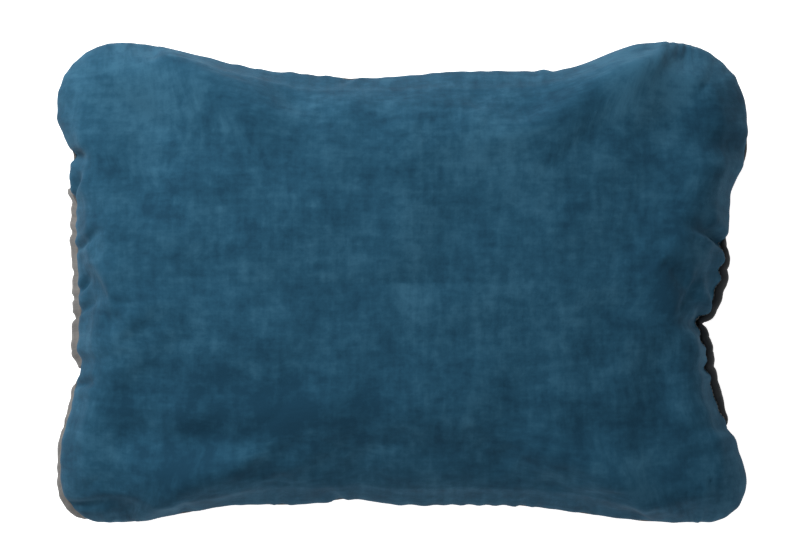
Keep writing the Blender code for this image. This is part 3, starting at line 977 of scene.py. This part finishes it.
    def round_off(self, rise: Array) -> Array:
        """Give a cover an evenly rounded profile in place of the simulation's steep sides.

        Each height is scaled by the wanted profile over the mean one at its share of the way out,
        so that the simulated unevenness stays. The share comes from the distances to the nearest
        end and the nearest long side, which blend by their inverse cubes.

        Args:
            rise: How far each point stands from the seam's plane.

        Returns:
            The heights, at most 1.
        """
        to_end = np.maximum(self.flat_length / 2 - abs(self.flat[..., 0]), 1e-4)
        to_side = np.maximum(self.flat_width / 2 - abs(self.flat[..., 1]), 1e-4)
        inset = (to_end**-3.0 + to_side**-3.0) ** (-1 / 3)
        share = 1 - inset / inset.max()
        root = np.sqrt(1 - share)
        mean = np.polyval(np.polyfit(root.ravel(), rise.ravel(), 5), root)
        out_power, round_power = self.dome
        profile = (1 - np.clip(share, 0.0, 1.0) ** out_power) ** round_power
        kept = 0.35 + 0.65 * smooth_step((self.edge - 0.015) / 0.070)
        rounded = profile * (1 + (rise / np.maximum(mean, 0.02) - 1) * kept)
        return rounded / rounded.max()

    def flat_foot(self, rise: Array) -> Array:
        """Press the back flat where it meets the floor.

        Args:
            rise: How far each point hangs below the seam, from 0 to 1.

        Returns:
            The depths below the seam in metres, none below the floor.
        """
        depth, knee = rise * self.seam * self.foot_press, self.foot_knee
        pressed = depth - knee * np.logaddexp(0.0, (depth - self.seam + knee / 2) / knee)
        return pressed * self.seam / pressed.max()

    def bulge(self, back: Array) -> Array:
        """Push the back's side out past the seam, by a hump that rises and dies below the seam.

        Args:
            back: The back cover's grid.

        Returns:
            The grid, at most 3 mm past the outline.
        """
        angle = np.arctan2(back[..., 1], back[..., 0])
        hump = self.hump(self.bulge_place) ** 2
        room = self.outline.radius(angle) + self.bulge_past - np.hypot(back[..., 0], back[..., 1])
        push = room * hump * smooth_step(self.outline.overhang(angle) / 0.0015)
        return np.dstack([back[..., :2] + unit(back[..., :2]) * push[..., None], back[..., 2]])

    def open_lip(self, grid: Array, side: Side) -> Array:
        """Part the two covers along the mouth, and by half a hair everywhere else."""
        share = np.where(grid[..., 0] > 0, self.outline.mouth_share(grid[..., 1]), 0.0)
        lift = 0.00015 + (self.outline.lip_lift - 0.0006) * share
        grid[..., 2] += side.value * lift * self.near_rim(0.012)
        return grid

    def gather_strength(self) -> Array:
        """How strongly the cloth puckers at the seam: most at the mouth and the closed end."""
        x, y = self.flat[..., 0], self.flat[..., 1]
        mouth = np.where(x > 0.2, self.outline.mouth_share(y, 0.03), 0.0)
        closed = np.where(x < -0.2, 0.75 * bell(y / 0.11), 0.0)
        patchy = 0.5 + 0.5 * np.tanh(soft_noise(self.along, 14, 5))
        return 0.22 + 0.35 * patchy + mouth + closed

    def lumps(self, place: Array, seed: int) -> Array:
        """Soft lumps of the filling under the cloth, from crossing waves of 45 to 130 mm."""
        rng = np.random.default_rng(seed)
        total = np.zeros(place.shape[:-1])
        for length in np.geomspace(0.045, 0.130, 22):
            turn, phase = rng.uniform(0.0, 2 * math.pi, 2)
            across = place @ np.array((math.cos(turn), math.sin(turn)))
            total += length / 0.090 * np.sin(2 * math.pi * across / length + phase)
        return total / math.sqrt(22 / 2)

    def wrinkle(self, grid: Array, side: Side) -> Array:
        """Add the puckers along the seam, the folds and the filling's lumps along the normals.

        Args:
            grid: A cover's grid.
            side: Which cover it is.

        Returns:
            The wrinkled grid.
        """
        normals = grid_normals(grid, side.value)
        strength = self.gather_strength()
        wobble = soft_noise(self.along, 150, 11)
        swell = soft_noise(self.along, 46, 12)
        near = self.near_rim(0.013) * (1 - self.near_rim(0.0035))
        further = self.near_rim(0.028) * (1 - self.near_rim(0.006))
        height = self.pucker * strength * (wobble * near + 1.2 * swell * further)
        inside = 1 - self.near_rim(0.020)
        if side is Side.FACE:
            height += 0.0013 * self.lumps(self.flat, 21) * inside
            fixed = 1 - self.near_rim(0.0030)
            for fold in FACE_FOLDS:
                height += fold.relief(grid[..., :2]) * (0.35 + 0.65 * fixed)
        else:
            height += 0.0010 * self.lumps(self.flat, 22) * inside * smooth_step(grid[..., 2] / 0.02)
            beside = 1 - self.near_rim(0.0030)
            for fold in BACK_FOLDS:
                height += fold.relief(grid[..., :2]) * beside
        moved = grid + normals * height[..., None]
        rim = self.near_rim(0.008) * strength
        moved[..., :2] += unit(grid[..., :2]) * (rim * 0.0004 * wobble)[..., None]
        moved[..., 2] += rim * 0.0007 * swell
        return moved

    def rim(self, grid: Array) -> Array:
        """A grid's rim as a loop of points."""
        return grid.reshape(-1, grid.shape[-1])[rim_order(*grid.shape[:2])]

    def inward(self, loop: Array) -> Array:
        """Directions into the casing along a loop, square to its smoothed run."""
        run = np.roll(loop[:, :2], -4, axis=0) - np.roll(loop[:, :2], 4, axis=0)
        return unit(np.column_stack([-run[:, 1], run[:, 0]]))

    def cover(self, side: Side) -> bpy.types.Object:
        """One cover as a closed shell of cloth, with its allowance turned in at the seam.

        Args:
            side: Which cover.

        Returns:
            The piece, with its place on the cut cloth as its UV map.
        """
        grid = self.skin(side)
        inner = grid - grid_normals(grid, side.value) * self.cloth
        rim = rim_order(*grid.shape[:2])
        loop, flat = self.rim(grid), self.rim(self.flat)
        into, flat_into = self.inward(loop), self.inward(flat)
        up = np.array((0.0, 0.0, side.value * self.cloth))
        hem = loop + up
        hem[:, :2] += into * self.cloth * 1.6
        inner.reshape(-1, 3)[rim] = hem
        turned, turned_flat = [], []
        for depth in np.linspace(0.0, self.seam_turn, 5)[1:]:
            turned.append(np.column_stack([loop[:, :2] + into * depth, loop[:, 2]]))
            turned_flat.append(flat - flat_into * depth)
        points, quads = closed_shell(grid, [*turned, *(point + up for point in turned[::-1])], inner)
        cloth_map, _ = closed_shell(self.flat, [*turned_flat, *turned_flat[::-1]], self.flat)
        if side is Side.BACK:
            quads = quads[:, ::-1]
        name, slot, node = {
            Side.FACE: ("face_cover", Slot.FACE, "front_panel"),
            Side.BACK: ("back_cover", Slot.BACK, "back_panel"),
        }[side]
        item = settle(make_piece(name, points, quads, cloth_map), slot, node)
        return item

    def skin(self, side: Side) -> Array:
        """The grid of one cover."""
        return self.face if side is Side.FACE else self.back

    def sample(self, grid: Array, place: Array) -> Array:
        """Values of a grid at places on the cut cloth, away from its corners.

        Args:
            grid: A grid of values.
            place: Places on the flat cloth, rows of x and y.

        Returns:
            The values there, by bilinear mixing.
        """
        rows, columns = grid.shape[:2]
        u = np.clip((place[..., 0] / self.flat_length + 0.5) * (columns - 1), 0, columns - 1.001)
        v = np.clip((place[..., 1] / self.flat_width + 0.5) * (rows - 1), 0, rows - 1.001)
        i, j = u.astype(int), v.astype(int)
        a, b = (u - i)[..., None], (v - j)[..., None]
        low = grid[j, i] * (1 - a) + grid[j, i + 1] * a
        high = grid[j + 1, i] * (1 - a) + grid[j + 1, i + 1] * a
        return low * (1 - b) + high * b


# ------------------------------------------------------------
# The filling, seam thread, mouth and trim
# ------------------------------------------------------------


@dataclass
class FoamCore:
    """The foam, a little inside the covers, grooved for the seam and slit for the pocket."""

    casing: Casing
    gap: float = 0.0050
    margin: float = 0.0160
    slit_depth: float = 0.129

    def build(self) -> bpy.types.Object:
        """Make the core from every third point of the covers' grids, left out near the rim."""
        casing = self.casing
        skins = []
        for side in Side:
            grid = casing.skin(side)
            skin = blur(grid - grid_normals(grid, side.value) * (casing.cloth + self.gap), 10)
            sunk = 0.30 * casing.near_rim(0.040)
            skin[..., 2] = casing.seam + (skin[..., 2] - casing.seam) * (1 - sunk)
            skin = skin[4:-4:3, 4:-4:3]
            angle = np.arctan2(skin[..., 1], skin[..., 0])
            reach = np.hypot(skin[..., 0], skin[..., 1])
            limit = casing.outline.radius(angle) - casing.outline.overhang(angle) - self.margin
            skin[..., :2] *= (np.minimum(reach, limit) / np.maximum(reach, 1e-6))[..., None]
            skins.append(skin)
        upper, lower = [], []
        loop = casing.rim((skins[0] + skins[1]) / 2)
        into = casing.inward(loop)
        share = np.where(loop[:, 0] > 0.15, casing.outline.mouth_share(loop[:, 1]), 0.0)
        half_gap = 0.0018 + 0.0012 * share
        for step in range(5):
            place = loop[:, :2] + into * (0.0042 + 0.0006 * step)
            place[:, 0] -= share * step * self.slit_depth / 4
            upper.append(np.column_stack([place, casing.seam + half_gap]))
            lower.append(np.column_stack([place, casing.seam - half_gap]))
        core = make_piece("foam_core", *closed_shell(skins[0], [*upper, *lower[::-1]], skins[1]))
        settle(core, Slot.FOAM, "foam_fill")
        return core


@dataclass
class Overlock:
    """The thread that wraps the seam's raw edges inside, from one end of the mouth to the other."""

    casing: Casing
    pitch: float = 0.0026
    reach: float = 0.0019
    thread: float = 0.00028

    def build(self) -> bpy.types.Object:
        """Wind a thread round the allowances' edge."""
        casing = self.casing
        loop = (casing.rim(casing.face) + casing.rim(casing.back)) / 2
        into = casing.inward(loop)
        loop[:, :2] += into * (casing.seam_turn - 0.0006)
        share = np.where(loop[:, 0] > 0.15, casing.outline.mouth_share(loop[:, 1], 0.020), 0.0)
        start = int(np.argmax(share > 0.5))
        loop, into, share = (np.roll(a, -start, axis=0) for a in (loop, into, share))
        keep = share < 0.02
        loop, into = loop[keep], into[keep]
        run = run_length(loop)
        turns = int(run[-1] / self.pitch)
        s = np.linspace(0.0, run[-1], turns * 8)
        middle, side = read_along(s, run, loop), read_along(s, run, into)
        angle = 2 * math.pi * s / self.pitch
        middle[:, :2] += side * (self.reach * 0.55 * np.cos(angle))[:, None]
        middle[:, 2] += self.reach * np.sin(angle)
        points = sweep(middle, self.thread, 4, (0.13, 0.21, 0.97))
        item = make_piece("overlock_thread", points, tube_faces(len(s), 4))
        return settle(item, Slot.THREAD, "seam_overlock")


@dataclass
class Mouth:
    """The drawcord tunnel round both lips, its stitches, and the stow pocket behind."""

    casing: Casing
    wall: float = 0.0007
    sides: int = 18
    room: float = 0.0055
    pinch_gap: float = 0.0022
    pocket_wall: float = 0.0003

    def lip(self, side: Side) -> Array:
        """The rim of one cover along the mouth, from its near end to its far end."""
        casing, outline = self.casing, self.casing.outline
        middle = (casing.face[:, -1, 1] + casing.back[:, -1, 1]) / 2
        return casing.skin(side)[(middle > outline.mouth_near) & (middle < outline.mouth_far), -1]

    def middle_line(self) -> Array:
        """The tunnel's middle: from the pinch along the face lip, round the back lip, and back."""
        outline = self.casing.outline
        near, far = outline.mouth_near + self.room, outline.mouth_far - self.room
        line = None
        for side, start, end in (
            (Side.FACE, outline.pinch_y - self.pinch_gap, near),
            (Side.BACK, near, far),
            (Side.FACE, far, outline.pinch_y + self.pinch_gap),
        ):
            lip, nudge = self.lip(side), 0.0015
            y = np.arange(start, end, math.copysign(0.0006, end - start))
            x, before, after = (np.interp(y + shift, lip[:, 1], lip[:, 0]) for shift in (0.0, -nudge, nudge))
            slope = (after - before) / (2 * nudge)
            out = outline.tube_radius(y) * 0.88 / np.hypot(1.0, slope)
            run = np.column_stack([x + out, y - out * slope, np.interp(y, lip[:, 1], lip[:, 2])])
            line = run if line is None else np.concatenate([line, self.bend(line, run[0]), run])
        for _ in range(3):
            line[1:-1] = (line[:-2] + 2 * line[1:-1] + line[2:]) / 4
        return line

    def bend(self, line: Array, last: Array) -> Array:
        """A half turn from a line's end round the mouth's end to the other lip.

        Args:
            line: The line so far.
            last: Where the half turn ends.

        Returns:
            The points between.
        """
        first = line[-1]
        turn = np.linspace(0.0, math.pi, 16)[1:-1]
        half = (first[2] - last[2]) / 2
        way = math.copysign(1.0, first[1] - line[-8][1])
        return np.column_stack([
            np.interp(turn, (0, math.pi), (first[0], last[0])),
            (first[1] + last[1]) / 2 + way * abs(half) * np.sin(turn),
            (first[2] + last[2]) / 2 + half * np.cos(turn),
        ])

    def build_tunnel(self) -> bpy.types.Object:
        """Sweep the gathered tunnel, open at the two ends that face each other at the pinch.

        The radius is the outline's, drawn in at both ends, with two ripples of gathered cloth. The
        inside follows at the wall's thickness, for as many rings as one can look in.
        """
        line = self.middle_line()
        run = run_length(line)
        share = (run / run[-1])[:, None]
        turn = np.linspace(0.0, 2 * math.pi, self.sides, endpoint=False)
        ripple = 0.015 * soft_noise(share + 0.0025 * np.sin(turn + 1.0), 70, 31)
        ripple += 0.022 * soft_noise(share + 0.006 * np.cos(turn), 22, 32)
        base = self.casing.outline.tube_radius(line[:, 1])[:, None]
        ends = 0.72 + 0.28 * smooth_step(np.minimum(run, run[-1] - run) / 0.006)[:, None]
        outer = base * ends * (0.96 + ripple)
        inner = np.maximum(outer - self.wall, 0.0006)
        outside, inside = (sweep(line, radii, self.sides, (1.0, 0.0, 0.05)) for radii in (outer, inner))
        seen = 14
        rings = np.concatenate([inside[seen::-1], outside, inside[:-seen - 2:-1]])
        along = np.concatenate([run[seen::-1], run, run[:-seen - 2:-1]])
        cloth_map = np.stack(np.broadcast_arrays(along[:, None], turn * 0.0036), axis=-1)
        item = make_piece("drawcord_tunnel", rings, tube_faces(len(rings), self.sides), cloth_map)
        return settle(item, Slot.TUNNEL, "mouth_tunnel")

    def build_stitches(self) -> bpy.types.Object:
        """Stitches that hold the tunnel to both lips: short thread dashes a little inside the rim."""
        dash, pitch, thread, sides, steps = 0.0023, 0.0034, 0.00026, 6, 6
        outline = self.casing.outline
        radii = thread * np.sqrt(np.clip(1 - np.linspace(-1, 1, steps) ** 4 * 0.9, 0.05, 1.0))
        dashes = []
        for side in Side:
            grid = self.casing.skin(side)
            above = grid_normals(grid, side.value)[:, -2] * (0.0002 + thread * 0.6)
            path = grid[:, -2] * 0.75 + grid[:, -1] * 0.25 + above
            path = path[(path[:, 1] > outline.mouth_near + 0.004) & (path[:, 1] < outline.mouth_far - 0.004)]
            run = run_length(path)
            for start in np.arange(0.001, run[-1] - dash, pitch):
                line = read_along(np.linspace(start, start + dash, steps), run, path)
                dashes.append(sweep(line, radii, sides, (1.0, 0.0, 0.3)).reshape(-1, 3))
        one = tube_faces(steps, sides)
        starts = range(0, len(dashes) * steps * sides, steps * sides)
        faces = [[index + first for index in face] for first in starts for face in one]
        return settle(make_piece("lip_stitches", np.concatenate(dashes), faces), Slot.THREAD)

    def build_pocket(self) -> bpy.types.Object:
        """The stow pocket: a flat bag of thin cloth whose open edge flares to both lips.

        Each ring goes once round the bag at one depth. The rings run down the outside and up the
        inside, and both ends at the bag's bottom are closed by a strip from side to side.
        """
        low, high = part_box("pocket_liner")
        lip = (self.lip(Side.FACE)[:, :2] + self.lip(Side.BACK)[:, :2]) / 2
        depth_steps, half = 46, 60
        across = np.linspace(0.0, math.pi, half + 1)
        y_share = np.concatenate([-np.cos(across), np.cos(across)[1:-1]])
        layer = np.concatenate([np.sin(across), -np.sin(across)[1:-1]])
        pressed = np.abs(layer) ** 0.35 * np.sign(layer)
        t = (np.arange(depth_steps) / (depth_steps - 1))[:, None] ** 1.2
        skins = []
        for skin in (0.0, self.pocket_wall):
            y = (low.y + high.y) / 2 + y_share * ((high.y - low.y) / 2 - 0.002 - skin)
            front = np.interp(y, lip[:, 1], lip[:, 0]) - 0.0015
            x = front * (1 - t) + (low.x + 0.002 + skin) * t
            into = front - x
            flare = 0.0007 + 0.0028 * np.exp(-into / 0.004)
            creases = 0.00035 * np.sin(55 * y + 90 * x) + 0.00025 * np.sin(210 * y - 60 * x + 1.0)
            z = self.casing.seam + pressed * (flare - skin) + creases * (1 - np.exp(-into / 0.01))
            skins.append(np.stack(np.broadcast_arrays(x, y, z), axis=-1))
        rings = np.concatenate([skins[0], skins[1][::-1]])
        index = np.arange(rings.shape[0] * rings.shape[1]).reshape(rings.shape[:2])
        faces = []
        for ring, flip in ((index[depth_steps - 1], False), (index[depth_steps], True)):
            upper, lower = ring[:half + 1], np.concatenate([ring[:1], ring[:half - 1:-1]])
            caps = [list(dict.fromkeys(map(int, quad))) for quad in loop_quads(upper, lower, closed=False)]
            faces += [quad[::-1] if flip else quad for quad in caps]
        for number, ring in enumerate(index):
            if number != depth_steps - 1:
                faces += loop_quads(ring, index[(number + 1) % len(index)]).tolist()
        item = settle(make_piece("stow_pocket", rings, faces, rings[..., :2]), Slot.POCKET, "pocket_liner")
        return item


@dataclass
class Trim:
    """The care label and the bar tacks on the back cover."""

    casing: Casing

    def back_place(self, x: float, z: float) -> tuple[float, float]:
        """The place on the flat back cloth, below the near seam, of a point of given x and height."""
        casing = self.casing
        column = int(np.argmin(abs(casing.back[casing.back.shape[0] // 2, :, 0] - x)))
        rows = casing.back.shape[0] // 3
        heights = casing.back[:rows, column, 2]
        lower = np.minimum.accumulate(heights)
        flat_y = np.interp(-z, -lower, casing.flat[:rows, column, 1])
        return float(casing.flat[0, column, 0]), float(flat_y)

    def on_back(self, place: Array) -> tuple[Array, Array]:
        """The points of the back cover, and the way out of it, at places on its flat cloth."""
        casing = self.casing
        return casing.sample(casing.back, place), unit(casing.sample(grid_normals(casing.back, -1), place))

    def build_label(self) -> bpy.types.Object:
        """A blank satin label, a thin patch that follows the cloth and lifts a little at its corners."""
        low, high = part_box("care_label")
        x_low, y_high = self.back_place(low.x, low.z)
        x_high, y_low = self.back_place(high.x, high.z)
        u, v = np.meshgrid(np.linspace(0, 1, 36), np.linspace(0, 1, 26))
        place = np.stack([x_low + (x_high - x_low) * u, y_low + (y_high - y_low) * v], axis=-1)
        base, out = self.on_back(place)
        corner = abs(2 * u - 1) ** 6 * abs(2 * v - 1) ** 6
        lift = 0.0004 + 0.0009 * corner + 0.00012 * np.sin(9 * u + 5 * v)
        under = base + out * lift[..., None]
        points, faces = closed_shell(under, [], under + out * 0.0004)
        cloth_map = np.concatenate([place.reshape(-1, 2)] * 2)
        item = settle(make_piece("care_tag", points, faces, cloth_map), Slot.LABEL, "care_label")
        return item

    def build_tack(self, name: str, node: str) -> bpy.types.Object:
        """A bar tack: thread laid in a close zigzag across a short upright bar.

        Args:
            name: The piece's name.
            node: The CAD node that it stands for.

        Returns:
            The piece.
        """
        casing = self.casing
        low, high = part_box(node)
        middle_y = (low.y + high.y) / 2
        flat_y = float(np.interp(middle_y, casing.back[:, -4, 1], casing.flat[:, -4, 1]))
        turns = 26
        t = np.linspace(0.0, 1.0, turns * 4 + 1)
        reach = np.linspace(0.0058, 0.0175, len(t))
        swing = 0.0012 * (2 / math.pi) * np.arcsin(np.sin(2 * math.pi * turns * t))
        place = np.column_stack([casing.flat_length / 2 - reach, flat_y + swing])
        base, out = self.on_back(place)
        path = base + out * (0.00045 + 0.0002 * np.cos(2 * math.pi * turns * 2 * t))[:, None]
        points = sweep(path, 0.00024, 6, (1.0, 0.1, -0.4))
        item = make_piece(name, points, tube_faces(len(path), 6))
        return settle(item, Slot.THREAD, node)


# ------------------------------------------------------------
# The studio
# ------------------------------------------------------------


@dataclass(frozen=True)
class Lamp:
    """A soft box: its place, its size and its power; it points at the pillow."""

    name: str
    place: tuple[float, float, float]
    size: float
    power: float

    def build(self) -> None:
        """Hang the lamp."""
        data = bpy.data.lights.new(self.name, "AREA")
        data.shape = "SQUARE"
        data.size = self.size
        data.energy = self.power
        lamp = bpy.data.objects.new(self.name, data)
        lamp.location = self.place
        direction = np.array((0.0, 0.0, 0.06)) - np.array(self.place)
        flat = math.hypot(direction[0], direction[1])
        spin = math.atan2(direction[1], direction[0]) - math.pi / 2
        lamp.rotation_euler = (math.atan2(flat, -direction[2]), 0.0, spin)
        bpy.context.scene.collection.objects.link(lamp)


@dataclass(frozen=True)
class Studio:
    """A pale floor, soft light from the upper left, and a long lens straight above the pillow."""

    frame_width: float = 0.6470
    camera_height: float = 1.75
    camera_offset: tuple[float, float] = (-0.0057, 0.0057)
    focus_height: float = 0.068
    lamps: tuple[Lamp, ...] = (
        Lamp("key_light", (-0.90, 1.05, 1.18), 0.75, 33.0),
        Lamp("fill_light", (0.25, -1.10, 1.30), 1.60, 6.5),
    )
    ambient: float = 0.22
    floor_half: float = 3.0

    def build(self) -> None:
        """Lay the floor, hang the lamps and place the camera."""
        corners = np.array([(-1, -1), (1, -1), (1, 1), (-1, 1)]) * self.floor_half
        floor = make_piece("studio_floor", np.column_stack([corners, np.full(4, -0.0004)]), [[0, 1, 2, 3]])
        floor.data.materials.append(StudioFloor().make())
        for lamp in self.lamps:
            lamp.build()
        world = bpy.data.worlds.new("studio_air")
        world.use_nodes = True
        sky = world.node_tree.nodes["Background"].inputs
        sky["Color"].default_value = (1.0, 1.0, 1.0, 1.0)
        sky["Strength"].default_value = self.ambient
        scene = bpy.context.scene
        scene.world = world
        scene.view_settings.view_transform = "Standard"
        data = bpy.data.cameras.new("studio_camera")
        data.sensor_width = 36.0
        data.lens = 36.0 * (self.camera_height - self.focus_height) / self.frame_width
        data.clip_end = 20.0
        camera = bpy.data.objects.new("studio_camera", data)
        camera.location = (*self.camera_offset, self.camera_height)
        scene.collection.objects.link(camera)
        scene.camera = camera


def main() -> None:
    """Build every piece in order, then stage and light them."""
    logging.basicConfig(level=logging.INFO, format="%(name)s: %(message)s")
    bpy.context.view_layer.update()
    finishes = {
        Slot.FACE: BrushedSuede().make(),
        Slot.BACK: PlainWeave("back_weave_cloth", (0.105, 0.102, 0.099), (0.190, 0.184, 0.178)).make(),
        Slot.TUNNEL: PlainWeave("tunnel_cloth", (0.014, 0.021, 0.027), (0.066, 0.068, 0.070),
                                0.0006, 0.4).make(),
        Slot.POCKET: PlainWeave("pocket_cloth", (0.020, 0.020, 0.022), (0.040, 0.040, 0.043),
                                0.0003, 0.5).make(),
        Slot.FOAM: CutFoam().make(),
        Slot.THREAD: SpunThread("spun_thread", (0.12, 0.115, 0.11), (0.30, 0.29, 0.275)).make(),
        Slot.LABEL: SatinTape().make(),
    }
    casing = Casing(Outline())
    casing.build()
    mouth = Mouth(casing)
    trim = Trim(casing)
    pieces = [
        casing.cover(Side.FACE),
        casing.cover(Side.BACK),
        FoamCore(casing).build(),
        Overlock(casing).build(),
        mouth.build_tunnel(),
        mouth.build_stitches(),
        mouth.build_pocket(),
        trim.build_label(),
        trim.build_tack("near_tack", "near_bar_tack"),
        trim.build_tack("far_tack", "far_bar_tack"),
    ]
    for piece in pieces:
        piece.data.materials.append(finishes[Slot(piece["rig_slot"])])
    Studio().build()


if __name__ == "__main__":
    main()
